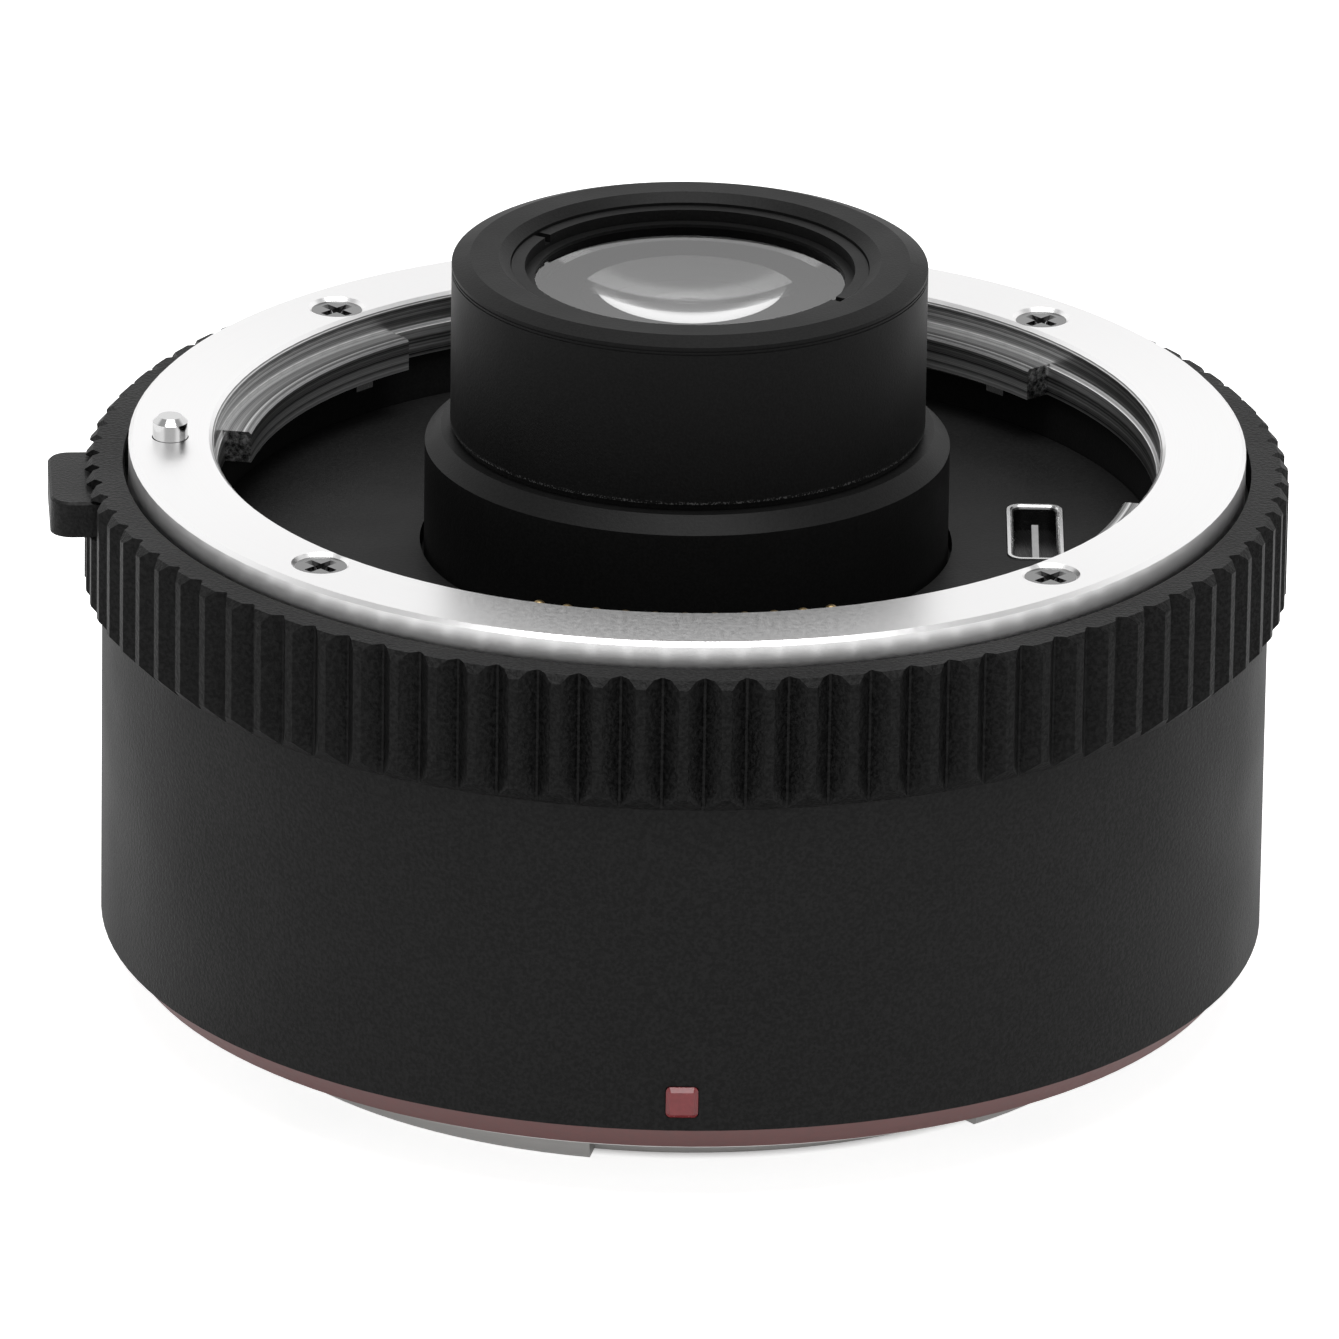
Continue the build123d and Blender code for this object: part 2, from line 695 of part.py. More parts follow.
# Front baffle: the black plate round the collar, with a slot and a slit for the flat cable
flex_spot = around(contact_radius, contact_azimuth)[:2]
with BuildPart() as front_baffle:
    plain_ring(baffle_hole_radius, base_wall_radius - assembly_gap, base_ledge_top, baffle_top)
    with BuildSketch(Plane.XY.offset(base_ledge_top)):
        with Locations((slot_x, slot_y)):
            RectangleRounded(slot_width + 2 * running_gap, slot_length + 2 * running_gap,
                             slot_corner_radius)
        with Locations(flex_spot):
            Rectangle(flex_slit_width, flex_slit_thickness)
    extrude(amount=baffle_thickness, mode=Mode.SUBTRACT)
front_baffle.part.label = "front_baffle"
export_step(front_baffle.part, "parts/front_baffle.step")

# Slot liner: a bright cup with a bevelled mouth, in the baffle's slot
slot_top = baffle_top + slot_rise
slot_base = slot_top - slot_depth
with BuildPart() as slot_liner:
    with BuildSketch(Plane.XY.offset(slot_base)):
        with Locations((slot_x, slot_y)):
            RectangleRounded(slot_width, slot_length, slot_corner_radius)
    extrude(amount=slot_depth)
    offset(amount=-slot_wall, openings=slot_liner.faces().sort_by(Axis.Z)[-1])
    mouth = slot_liner.faces().sort_by(Axis.Z)[-1].inner_wires()[0]
    chamfer(mouth.edges(), length=slot_bevel)
slot_liner.part.label = "slot_liner"
export_step(slot_liner.part, "parts/slot_liner.step")

# Slot tongue: the light blade that stands in the slot
with BuildPart() as slot_tongue:
    with BuildSketch(Plane.XY.offset(slot_base + slot_wall)):
        with Locations((slot_x, slot_y - tongue_offset)):
            Rectangle(tongue_width, tongue_length)
    extrude(amount=tongue_height)
slot_tongue.part.label = "slot_tongue"
export_step(slot_tongue.part, "parts/slot_tongue.step")

# Lens cell: the tube inside the barrel, hung from the mount base by its flange
with BuildPart() as lens_cell:
    turned(((cell_bore_radius, cell_bottom), (cell_radius, cell_bottom),
            (cell_radius, cell_flange_base), (cell_flange_radius, cell_flange_base),
            (cell_flange_radius, base_floor), (cell_radius, base_floor), (cell_radius, cell_top),
            (collar_inner, cell_top), (collar_inner, socket_floor), (cell_stop_radius, socket_floor),
            (cell_stop_radius, cell_seat), (cell_bore_radius, cell_seat)))
    with BuildSketch(Plane.XY.offset(cell_flange_base)):
        with PolarLocations(cell_screw_circle_radius, fixing_count, start_angle=cell_screw_azimuth):
            Circle(small_screw_radius + running_gap)
        with PolarLocations(board_fixing_radius, fixing_count, start_angle=board_fixing_azimuth):
            Circle(small_screw_radius + running_gap)
        with Locations(flex_spot):
            Rectangle(flex_slit_width, flex_slit_thickness)
    extrude(amount=cell_flange_thickness, mode=Mode.SUBTRACT)
lens_cell.part.label = "lens_cell"
export_step(lens_cell.part, "parts/lens_cell.step")

# Screws that hold the lens cell to the mount base
with BuildPart() as lens_cell_screws:
    for azimuth in ring_azimuths(fixing_count, cell_screw_azimuth):
        add(small_screw(level_at(cell_screw_circle_radius, azimuth, cell_flange_base),
                        cell_flange_thickness + small_screw_grip))
lens_cell_screws.part.label = "lens_cell_screws"
export_step(lens_cell_screws.part, "parts/lens_cell_screws.step")

# Barrel collar: the bevelled sleeve at the foot of the snout
with BuildPart() as barrel_collar:
    turned(((collar_inner, cell_top), (collar_radius, cell_top),
            (collar_radius, collar_top - collar_chamfer), (collar_radius - collar_chamfer, collar_top),
            (collar_inner, collar_top)))
barrel_collar.part.label = "barrel_collar"
export_step(barrel_collar.part, "parts/barrel_collar.step")

# Snout gasket, in the groove between the collar and the snout
with BuildPart() as snout_gasket:
    plain_ring(collar_inner, collar_inner + gasket_width, collar_top, snout_shoulder)
snout_gasket.part.label = "snout_gasket"
export_step(snout_gasket.part, "parts/snout_gasket.step")

# Snout barrel: the black lens tube that reaches into the front lens
with BuildPart() as snout_barrel:
    turned(((snout_stop_radius, snout_neck_bottom), (snout_neck_radius, snout_neck_bottom),
            (snout_neck_radius, snout_shoulder), (snout_radius, snout_shoulder),
            (snout_radius, snout_top - snout_chamfer_height),
            (snout_radius - snout_chamfer_width, snout_top), (snout_mouth_radius, snout_top),
            (snout_bore_radius, snout_top - snout_mouth_bevel),
            (snout_bore_radius, snout_stop_top), (snout_stop_radius, snout_stop_top)))
    for groove in range(snout_groove_count):
        groove_low = snout_top - snout_groove_drop - 2 * groove * snout_groove_height
        plain_ring(snout_radius - snout_groove_depth, snout_radius + cut_overrun,
                   groove_low - snout_groove_height, groove_low, Mode.SUBTRACT)
snout_barrel.part.label = "snout_barrel"
export_step(snout_barrel.part, "parts/snout_barrel.step")

# Front retaining ring, with two slots for a spanner
ring_top = front_glass_top + front_ring_height
ring_lip_top = front_glass_top + ring_lip_height
front_ring_radius = front_clear_radius + ring_lip_width
with BuildPart() as front_retaining_ring:
    turned(((front_clear_radius, front_glass_top), (front_lens_radius, front_glass_top),
            (front_lens_radius, ring_top), (front_ring_radius, ring_top),
            (front_ring_radius, ring_lip_top), (front_clear_radius, ring_lip_top)))
    with BuildSketch(Plane.XY.offset(ring_top)):
        Rectangle(2 * snout_mouth_radius, spanner_slot_width, rotation=front_slot_azimuth)
    extrude(amount=-spanner_slot_depth, mode=Mode.SUBTRACT)
front_retaining_ring.part.label = "front_retaining_ring"
export_step(front_retaining_ring.part, "parts/front_retaining_ring.step")

# Lens elements, from the front: two doublets in the snout and two in the cell
doublet_1_base = front_glass_top - sum(doublet_1_thicknesses)
doublet_2_top = doublet_1_base - spacer_1_length
doublet_2_base = doublet_2_top - sum(doublet_2_thicknesses)
doublet_3_base = cell_seat - sum(doublet_3_thicknesses)
doublet_4_top = doublet_3_base - spacer_3_length
doublet_4_base = doublet_4_top - sum(doublet_4_thicknesses)
lens_solids = [
    *doublet(front_lens_radius, front_clear_radius, front_glass_top, doublet_1_thicknesses,
             doublet_1_curves),
    *doublet(front_lens_radius, front_clear_radius, doublet_2_top, doublet_2_thicknesses,
             doublet_2_curves),
    *doublet(rear_lens_radius, rear_clear_radius, cell_seat, doublet_3_thicknesses,
             doublet_3_curves),
    *doublet(rear_lens_radius, rear_clear_radius, doublet_4_top, doublet_4_thicknesses,
             doublet_4_curves),
]
for number, solid in enumerate(lens_solids, start=1):
    with BuildPart() as lens:
        add(solid)
    lens.part.label = f"lens_{number}"
    export_step(lens.part, f"parts/lens_{number}.step")

# Spacers between the lens elements, and below the snout's last one
spacers = {
    "spacer_1": (front_lens_radius, doublet_2_top, doublet_1_base),
    "spacer_2": (front_lens_radius, snout_stop_top, doublet_2_base),
    "spacer_3": (rear_lens_radius, doublet_4_top, doublet_3_base),
}
for name, (radius, low, high) in spacers.items():
    with BuildPart() as spacer:
        plain_ring(radius - spacer_wall, radius, low, high)
    spacer.part.label = name
    export_step(spacer.part, f"parts/{name}.step")

# Rear retaining ring, with two slots for a spanner
rear_ring_base = doublet_4_base - rear_ring_height
with BuildPart() as rear_retaining_ring:
    plain_ring(rear_clear_radius, rear_lens_radius, rear_ring_base, doublet_4_base)
    with BuildSketch(Plane.XY.offset(rear_ring_base)):
        Rectangle(2 * cell_radius, spanner_slot_width)
    extrude(amount=spanner_slot_depth, mode=Mode.SUBTRACT)
rear_retaining_ring.part.label = "rear_retaining_ring"
export_step(rear_retaining_ring.part, "parts/rear_retaining_ring.step")

# Rear bayonet: the flange that meets the camera, its tube and its four outer lugs
with BuildPart() as rear_bayonet:
    turned(((tube_inner, -tube_depth), (tube_radius, -tube_depth), (tube_radius, 0),
            (rear_flange_radius, 0), (rear_flange_radius, bayonet_top), (tube_inner, bayonet_top)))
    for azimuth in rear_lug_azimuths:
        turned(((tube_radius - lug_root, -tube_depth), (rear_lug_radius - edge_break, -tube_depth),
                (rear_lug_radius, edge_break - tube_depth),
                (rear_lug_radius, rear_lug_thickness - tube_depth),
                (tube_radius - lug_root, rear_lug_thickness - tube_depth)),
               place=facing(azimuth - rear_lug_span / 2), arc=rear_lug_span)
    with Locations(Plane.XY.rotated((180, 0, 0))):
        with PolarLocations(rear_screw_circle_radius, screw_count, start_angle=screw_first_azimuth):
            CounterSinkHole(screw_hole_radius, screw_sink_radius, counter_sink_angle=90)
    with BuildSketch(level_at(lock_pin_circle_radius, pin_azimuth, 0)):
        Circle(lock_hole_radius)
    extrude(amount=lock_hole_depth, mode=Mode.SUBTRACT)
rear_bayonet.part.label = "rear_bayonet"
export_step(rear_bayonet.part, "parts/rear_bayonet.step")

# Rear mount screws, which enter from the camera's side
with BuildPart() as rear_bayonet_screws:
    for azimuth in ring_azimuths(screw_count, screw_first_azimuth):
        underside = Plane(origin=around(rear_screw_circle_radius, azimuth, screw_head_depth),
                          x_dir=around(1, azimuth), z_dir=(0, 0, -1))
        add(countersunk_screw(underside, rear_screw_length))
rear_bayonet_screws.part.label = "rear_bayonet_screws"
export_step(rear_bayonet_screws.part, "parts/rear_bayonet_screws.step")

# Shim between the rear bayonet and the barrel
with BuildPart() as rear_mount_shim:
    plain_ring(rear_ledge_inner + assembly_gap, rear_flange_radius - assembly_gap,
               bayonet_top, barrel_base)
    with BuildSketch(Plane.XY.offset(bayonet_top)):
        with PolarLocations(rear_screw_circle_radius, screw_count, start_angle=screw_first_azimuth):
            Circle(screw_hole_radius)
    extrude(amount=shim_thickness, mode=Mode.SUBTRACT)
rear_mount_shim.part.label = "rear_mount_shim"
export_step(rear_mount_shim.part, "parts/rear_mount_shim.step")

# Red trim ring round the rear flange
trim_inner = rear_flange_radius + assembly_gap
trim_low_radius = trim_inner + trim_low_width
trim_top_radius = barrel_radius - assembly_gap
with BuildPart() as red_trim_ring:
    turned(((trim_inner, trim_base), (trim_low_radius, trim_base), (trim_top_radius, barrel_base),
            (trim_inner, barrel_base)))
red_trim_ring.part.label = "red_trim_ring"
export_step(red_trim_ring.part, "parts/red_trim_ring.step")

# Rear cover: closes the back inside the bayonet tube, and its sleeve steadies the lens cell
rim_radius = tube_inner + cover_rim_width
rear_flex_spot = around(rear_flex_radius, contact_azimuth)[:2]
with BuildPart() as rear_cover:
    turned(((cover_opening_radius, cover_base), (tube_inner - running_gap, cover_base),
            (tube_inner - running_gap, bayonet_top), (rim_radius, bayonet_top),
            (rim_radius, bayonet_top + cover_rim_thickness),
            (sleeve_inner + cover_sleeve_wall, bayonet_top + cover_rim_thickness),
            (sleeve_inner + cover_sleeve_wall, bayonet_top + cover_sleeve_height),
            (sleeve_inner, bayonet_top + cover_sleeve_height), (sleeve_inner, bayonet_top),
            (cover_opening_radius, bayonet_top)))
    with BuildSketch(Plane.XY.offset(cover_base)):
        with Locations(rear_flex_spot):
            Rectangle(flex_slit_width, flex_slit_thickness)
    extrude(amount=cover_thickness + cover_rim_thickness, mode=Mode.SUBTRACT)
rear_cover.part.label = "rear_cover"
export_step(rear_cover.part, "parts/rear_cover.step")

# Rear baffle: a plate with a rectangular window for the picture
with BuildPart() as rear_baffle:
    with BuildSketch(Plane.XY.offset(bayonet_top)):
        Circle(rear_baffle_radius)
        RectangleRounded(window_width, window_height, window_corner, mode=Mode.SUBTRACT)
    extrude(amount=rear_baffle_thickness)
rear_baffle.part.label = "rear_baffle"
export_step(rear_baffle.part, "parts/rear_baffle.step")

# Front contact block: bored from below, with a roof that holds the sprung pins in
with BuildPart() as front_contact_block:
    sector(block_inner_radius, block_outer_radius, baffle_top, block_top, contact_azimuth, block_span)
    with BuildSketch(Plane.XY.offset(baffle_top)):
        for azimuth in contact_azimuths():
            with Locations(around(contact_radius, azimuth)[:2]):
                Circle(pin_bore_radius)
    extrude(amount=front_block_height, mode=Mode.SUBTRACT)
    with BuildSketch(Plane.XY.offset(baffle_top)):
        for azimuth in contact_azimuths():
            with Locations(around(contact_radius, azimuth)[:2]):
                Circle(pin_counterbore_radius)
    extrude(amount=front_block_height - pin_roof_thickness, mode=Mode.SUBTRACT)
front_contact_block.part.label = "front_contact_block"
export_step(front_contact_block.part, "parts/front_contact_block.step")

# Sprung contact pins
shoulder_top = block_top - pin_roof_thickness - running_gap
pin_shaft_top = block_top + pin_rise - pin_radius
for number, azimuth in enumerate(contact_azimuths(), start=1):
    with BuildPart() as contact_pin:
        with BuildSketch(Plane.XY.offset(shoulder_top - pin_shoulder_height)):
            with Locations(around(contact_radius, azimuth)[:2]):
                Circle(pin_shoulder_radius)
        extrude(amount=pin_shoulder_height)
        with BuildSketch(Plane.XY.offset(shoulder_top)):
            with Locations(around(contact_radius, azimuth)[:2]):
                Circle(pin_radius)
        extrude(amount=pin_shaft_top - shoulder_top)
        with Locations(around(contact_radius, azimuth, pin_shaft_top)):
            Sphere(pin_radius)
    contact_pin.part.label = f"contact_pin_{number:02d}"
    export_step(contact_pin.part, f"parts/contact_pin_{number:02d}.step")

# Rear contact block and its pads
with BuildPart() as rear_contact_block:
    sector(block_inner_radius, block_outer_radius, rear_block_base, cover_base, contact_azimuth,
           block_span)
rear_contact_block.part.label = "rear_contact_block"
export_step(rear_contact_block.part, "parts/rear_contact_block.step")

with BuildPart() as rear_contact_pads:
    for azimuth in contact_azimuths():
        with BuildSketch(level_at(contact_radius, azimuth, rear_block_base)):
            Rectangle(pad_length, pad_width)
    extrude(amount=-pad_thickness)
rear_contact_pads.part.label = "rear_contact_pads"
export_step(rear_contact_pads.part, "parts/rear_contact_pads.step")

# Circuit board, its spacers and screws, the chip, and the flat cables to both contact blocks
with BuildPart() as circuit_board:
    plain_ring(board_inner_radius, board_outer_radius, board_base, board_top)
    with BuildSketch(Plane.XY.offset(board_base)):
        with PolarLocations(board_fixing_radius, fixing_count, start_angle=board_fixing_azimuth):
            Circle(small_screw_radius + running_gap)
    extrude(amount=board_thickness, mode=Mode.SUBTRACT)
circuit_board.part.label = "circuit_board"
export_step(circuit_board.part, "parts/circuit_board.step")

with BuildPart() as board_spacers:
    with BuildSketch(Plane.XY.offset(board_top)):
        with PolarLocations(board_fixing_radius, fixing_count, start_angle=board_fixing_azimuth):
            Circle(small_screw_radius + running_gap + board_spacer_wall)
            Circle(small_screw_radius + running_gap, mode=Mode.SUBTRACT)
    extrude(amount=board_spacer_height)
board_spacers.part.label = "board_spacers"
export_step(board_spacers.part, "parts/board_spacers.step")

with BuildPart() as board_screws:
    for azimuth in ring_azimuths(fixing_count, board_fixing_azimuth):
        add(small_screw(level_at(board_fixing_radius, azimuth, board_base),
                        board_thickness + board_spacer_height + small_screw_grip))
board_screws.part.label = "board_screws"
export_step(board_screws.part, "parts/board_screws.step")

with BuildPart() as controller_chip:
    with BuildSketch(level_at((board_inner_radius + board_outer_radius) / 2, chip_azimuth, board_base)):
        Rectangle(chip_size, chip_size)
    extrude(amount=-chip_height)
controller_chip.part.label = "controller_chip"
export_step(controller_chip.part, "parts/controller_chip.step")

with BuildPart() as front_flex:
    with BuildSketch(Plane.XY.offset(board_top)):
        with Locations(flex_spot):
            Rectangle(flex_width, flex_thickness)
    extrude(amount=baffle_top - board_top)
front_flex.part.label = "front_flex"
export_step(front_flex.part, "parts/front_flex.step")

with BuildPart() as rear_flex:
    with BuildSketch(Plane.XY.offset(cover_base)):
        with Locations(rear_flex_spot):
            Rectangle(flex_width, flex_thickness)
    extrude(amount=board_base - cover_base)
rear_flex.part.label = "rear_flex"
export_step(rear_flex.part, "parts/rear_flex.step")

# Lock pin: a round head in the flange, a stem, a foot with a sloping top, and a tail
lock_pin_top = mount_distance + lock_pin_rise
foot_front_top = lever_plate_base - ramp_gap
foot_back_top = foot_front_top - ramp_slope * foot_length
lock_head_base = mount_distance - lock_head_drop
ramp_side = Plane(origin=around(lock_pin_circle_radius, pin_azimuth),
                  x_dir=around(1, pin_azimuth - 90), z_dir=around(-1, pin_azimuth))
with BuildPart() as lock_pin:
    turned(((0, foot_base), (stem_radius, foot_base), (stem_radius, lock_head_base),
            (lock_pin_radius, lock_head_base), (lock_pin_radius, lock_pin_top - lock_pin_bevel),
            (lock_pin_radius - lock_pin_bevel, lock_pin_top), (0, lock_pin_top)),
           place=level_at(lock_pin_circle_radius, pin_azimuth, 0))
    with BuildSketch(ramp_side):
        with BuildLine():
            Polyline((-foot_length / 2, foot_base), (foot_length / 2, foot_base),
                     (foot_length / 2, foot_front_top), (-foot_length / 2, foot_back_top), close=True)
        make_face()
    extrude(amount=foot_width / 2, both=True)
    with BuildSketch(level_at(lock_pin_circle_radius, pin_azimuth, foot_base)):
        Circle(tail_radius)
    extrude(amount=-tail_length)
lock_pin.part.label = "lock_pin"
export_step(lock_pin.part, "parts/lock_pin.step")

# Release lever: a curved plate with an arc slot for the pin, two ramps under it and an outer tab
plate_outer = neck_radius - lever_clearance
ramp_low = lever_plate_base - ramp_slope * (foot_length / 2 + ramp_back)
tab_reach = grip_radius + lever_tab_overhang
tab_inner = flange_radius + lever_clearance
tab_root = plate_outer - lever_tab_root
tab_plane = Plane(origin=(0, 0, lever_plate_base), x_dir=around(1, tab_azimuth), z_dir=(0, 0, 1))
with BuildPart(mode=Mode.PRIVATE) as ramp_rails:
    with BuildSketch(ramp_side):
        with BuildLine():
            Polyline((foot_length / 2, lever_plate_base), (-ramp_back, lever_plate_base),
                     (-ramp_back, ramp_low), close=True)
        make_face()
    extrude(amount=foot_width, both=True)
    plain_ring(ramp_inner, ramp_outer, ramp_low, lever_plate_base, Mode.INTERSECT)
with BuildPart(mode=Mode.PRIVATE) as lever_tab:
    with BuildSketch(tab_plane):
        with Locations(((tab_root + tab_reach) / 2, 0)):
            Rectangle(tab_reach - tab_root, lever_tab_width)
    extrude(amount=lever_tab_height)
    with BuildSketch(tab_plane.offset(lever_plate_thickness)):
        with Locations(((tab_root + tab_inner) / 2, 0)):
            Rectangle(tab_inner - tab_root, lever_tab_width)
    extrude(amount=lever_tab_height, mode=Mode.SUBTRACT)
    fillet(lever_tab.edges().filter_by(Axis.Z).sort_by(Axis(tab_plane.origin, tab_plane.x_dir))[-2:],
           lever_tab_corner)
    chamfer(lever_tab.faces().filter_by(Axis.Z).sort_by(Axis.Z)[-1].edges(), lever_tab_edge)
with BuildPart() as release_lever:
    sector(lever_plate_inner, plate_outer, lever_plate_base, lever_plate_top,
           lever_plate_start + lever_plate_span / 2, lever_plate_span)
    add(ramp_rails.part)
    sector(ramp_inner + ramp_rail_width, ramp_outer - ramp_rail_width, ramp_low,
           lever_plate_base, pin_azimuth, ramp_pocket_span, Mode.SUBTRACT)
    sector(ramp_inner + ramp_rail_width, ramp_outer - ramp_rail_width, lever_plate_base,
           lever_plate_top, pin_azimuth + lever_turn / 2, lever_turn, Mode.SUBTRACT)
    with BuildSketch(Plane.XY.offset(lever_plate_base)):
        for azimuth in (pin_azimuth, pin_azimuth + lever_turn):
            with Locations(around(lock_pin_circle_radius, azimuth)[:2]):
                Circle(stem_slot_half)
    extrude(amount=lever_plate_thickness, mode=Mode.SUBTRACT)
    add(lever_tab.part)
release_lever.part.label = "release_lever"
export_step(release_lever.part, "parts/release_lever.step")

# Coil springs: one under the lock pin's foot, one that pushes the lever back
with BuildPart() as lock_pin_spring:
    add(coil("lock_pin_spring", pin_spring_radius, pin_spring_wire, pin_spring_turns,
             foot_base - pin_pocket_floor,
             level_at(lock_pin_circle_radius, pin_azimuth, pin_pocket_floor)))
lock_pin_spring.part.label = "lock_pin_spring"
export_step(lock_pin_spring.part, "parts/lock_pin_spring.step")

spring_height = (lever_floor + flange_base) / 2
spring_from = Vector(*around(lock_pin_circle_radius, lever_spring_start, spring_height))
spring_to = Vector(*around(lock_pin_circle_radius, lever_plate_start, spring_height))
with BuildPart() as lever_return_spring:
    add(coil("lever_return_spring", lever_spring_radius, lever_spring_wire, lever_spring_turns,
             (spring_to - spring_from).length - 2 * running_gap,
             Plane(origin=spring_from, z_dir=spring_to - spring_from).offset(running_gap)))
lever_return_spring.part.label = "lever_return_spring"
export_step(lever_return_spring.part, "parts/lever_return_spring.step")
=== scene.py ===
import json
from math import cos, radians, sin

import bpy
from mathutils import Matrix, Vector

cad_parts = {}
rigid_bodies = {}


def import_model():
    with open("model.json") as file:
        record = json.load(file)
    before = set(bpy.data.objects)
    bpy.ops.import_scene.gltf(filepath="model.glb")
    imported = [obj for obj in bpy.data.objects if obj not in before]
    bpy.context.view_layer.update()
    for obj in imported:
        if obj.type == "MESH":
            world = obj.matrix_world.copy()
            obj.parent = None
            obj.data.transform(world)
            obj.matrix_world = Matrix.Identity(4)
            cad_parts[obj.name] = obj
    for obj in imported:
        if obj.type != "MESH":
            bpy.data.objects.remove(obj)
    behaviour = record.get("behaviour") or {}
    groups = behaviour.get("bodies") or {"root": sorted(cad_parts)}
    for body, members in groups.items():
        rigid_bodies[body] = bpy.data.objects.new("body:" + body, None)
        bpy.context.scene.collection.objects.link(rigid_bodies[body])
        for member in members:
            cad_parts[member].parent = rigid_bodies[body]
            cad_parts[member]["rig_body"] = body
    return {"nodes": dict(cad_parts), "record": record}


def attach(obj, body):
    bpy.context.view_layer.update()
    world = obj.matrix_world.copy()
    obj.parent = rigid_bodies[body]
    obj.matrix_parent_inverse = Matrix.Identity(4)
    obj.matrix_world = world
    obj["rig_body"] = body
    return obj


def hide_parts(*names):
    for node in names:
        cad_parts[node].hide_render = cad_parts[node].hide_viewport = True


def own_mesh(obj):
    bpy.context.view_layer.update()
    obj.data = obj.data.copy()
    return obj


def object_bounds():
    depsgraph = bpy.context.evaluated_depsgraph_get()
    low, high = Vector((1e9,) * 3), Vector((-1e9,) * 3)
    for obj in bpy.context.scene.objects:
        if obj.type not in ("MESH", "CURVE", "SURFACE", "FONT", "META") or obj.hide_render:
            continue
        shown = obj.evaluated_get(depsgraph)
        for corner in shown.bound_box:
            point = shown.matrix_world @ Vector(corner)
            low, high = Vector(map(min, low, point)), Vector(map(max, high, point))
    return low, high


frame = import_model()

CAD_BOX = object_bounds()
MM = 0.001
QUARTER_TURN = 0.25

# Photograph's camera: view angles in degrees, and distances in millimetres of the frame
CAMERA_ELEVATION = 21.646
CAMERA_ROLL = 0.852
CAMERA_DISTANCE = 1126.48
CAMERA_RIGHT = 0.865
CAMERA_UP = 10.999
CAMERA_HEIGHT = 28.93
FOCAL_LENGTH = 506.24

FLOOR_Z = CAD_BOX[0][2]
AXIS_UP = Vector((0, 0, 1))

GLASS_IOR = 1.7
DUST_COLOR = (0.1, 0.1, 0.1)
DUST_SCALE = 9000

# In millimetres: the front element's blackened band (inner and outer radius, top), the slot's rim,
# the dust at the snout's foot (its two heights) and the throat's edge
BLACKENED_BAND = (6.55, 8.6, 41.7)
SLOT_RIM_HEIGHT = 25.45
SNOUT_DUST = (33.15, 33.35)
THROAT_EDGE_RADIUS = 28.4

# Light: the even light, and the room's brightness by the sine of the angle upwards and frontwards
WORLD_LIGHT = 0.35
ROOM_STOPS = ((0.58, 1.0), (0.72, 0.42))
FRONT_STOPS = ((0.68, 1.0), (0.8, 0.55))

# The lamp overhead: place, aim and size in metres, and watts
LAMP_PLACE = (0, -0.1, 0.65)
LAMP_AIM = (0, 0, 0.02)
LAMP_SIZE = (0.5, 0.5)
LAMP_WATTS = 3.9

# The floor: half its side in metres, the white added for the camera, the share of that white that
# mirrors see, and the shade's radius and blur in millimetres
FLOOR_HALF_SIDE = 1.5
FLOOR_GLOW = 0.8
FLOOR_MIRRORED = 0.3
FLOOR_SHADE_RADIUS = 26.5
FLOOR_SHADE_BLUR = 1.5


# Materials

def new_material(name):
    material = bpy.data.materials.new(name)
    material.use_nodes = True
    nodes = material.node_tree.nodes
    return material, nodes, material.node_tree.links, nodes["Principled BSDF"]


def object_coordinates(nodes):
    return nodes.new("ShaderNodeTexCoord").outputs["Object"]


def noise(nodes, links, source, scale, detail=2.0, roughness=0.5):
    node = nodes.new("ShaderNodeTexNoise")
    node.inputs["Scale"].default_value = scale
    node.inputs["Detail"].default_value = detail
    node.inputs["Roughness"].default_value = roughness
    links.new(source, node.inputs["Vector"])
    return node.outputs["Fac"]


def ramp(nodes, links, source, stops):
    node = nodes.new("ShaderNodeValToRGB")
    elements = node.color_ramp.elements
    while len(elements) < len(stops):
        elements.new(0.5)
    for element, (place, value) in zip(elements, stops):
        element.position = place
        element.color = (*value, 1) if isinstance(value, tuple) else (value, value, value, 1)
    links.new(source, node.inputs["Fac"])
    return node.outputs["Color"]


def maths(nodes, links, operation, first, second, clamp=False):
    node = nodes.new("ShaderNodeMath")
    node.operation = operation
    node.use_clamp = clamp
    for socket, value in zip(node.inputs, (first, second)):
        if isinstance(value, (int, float)):
            socket.default_value = value
        else:
            links.new(value, socket)
    return node.outputs[0]


def within(nodes, links, value, low, high, blur):
    """1 where a length in millimetres lies between two limits, and 0 outside them."""
    metres = MM * blur
    above = maths(nodes, links, "DIVIDE", maths(nodes, links, "SUBTRACT", value, low * MM), metres)
    below = maths(nodes, links, "DIVIDE", maths(nodes, links, "SUBTRACT", high * MM, value), metres)
    inside = maths(nodes, links, "MINIMUM", above, below)
    return maths(nodes, links, "ADD", inside, 0.5, clamp=True)


def blend_colors(nodes, links, share, first, second):
    node = nodes.new("ShaderNodeMix")
    node.data_type = "RGBA"
    links.new(share, node.inputs["Factor"])
    for socket, value in ((node.inputs[6], first), (node.inputs[7], second)):
        if isinstance(value, tuple):
            socket.default_value = (*value, 1)
        else:
            links.new(value, socket)
    return node.outputs[2]


def bump(nodes, links, height, strength, distance):
    node = nodes.new("ShaderNodeBump")
    node.inputs["Strength"].default_value = strength
    node.inputs["Distance"].default_value = distance
    links.new(height, node.inputs["Height"])
    return node.outputs["Normal"]


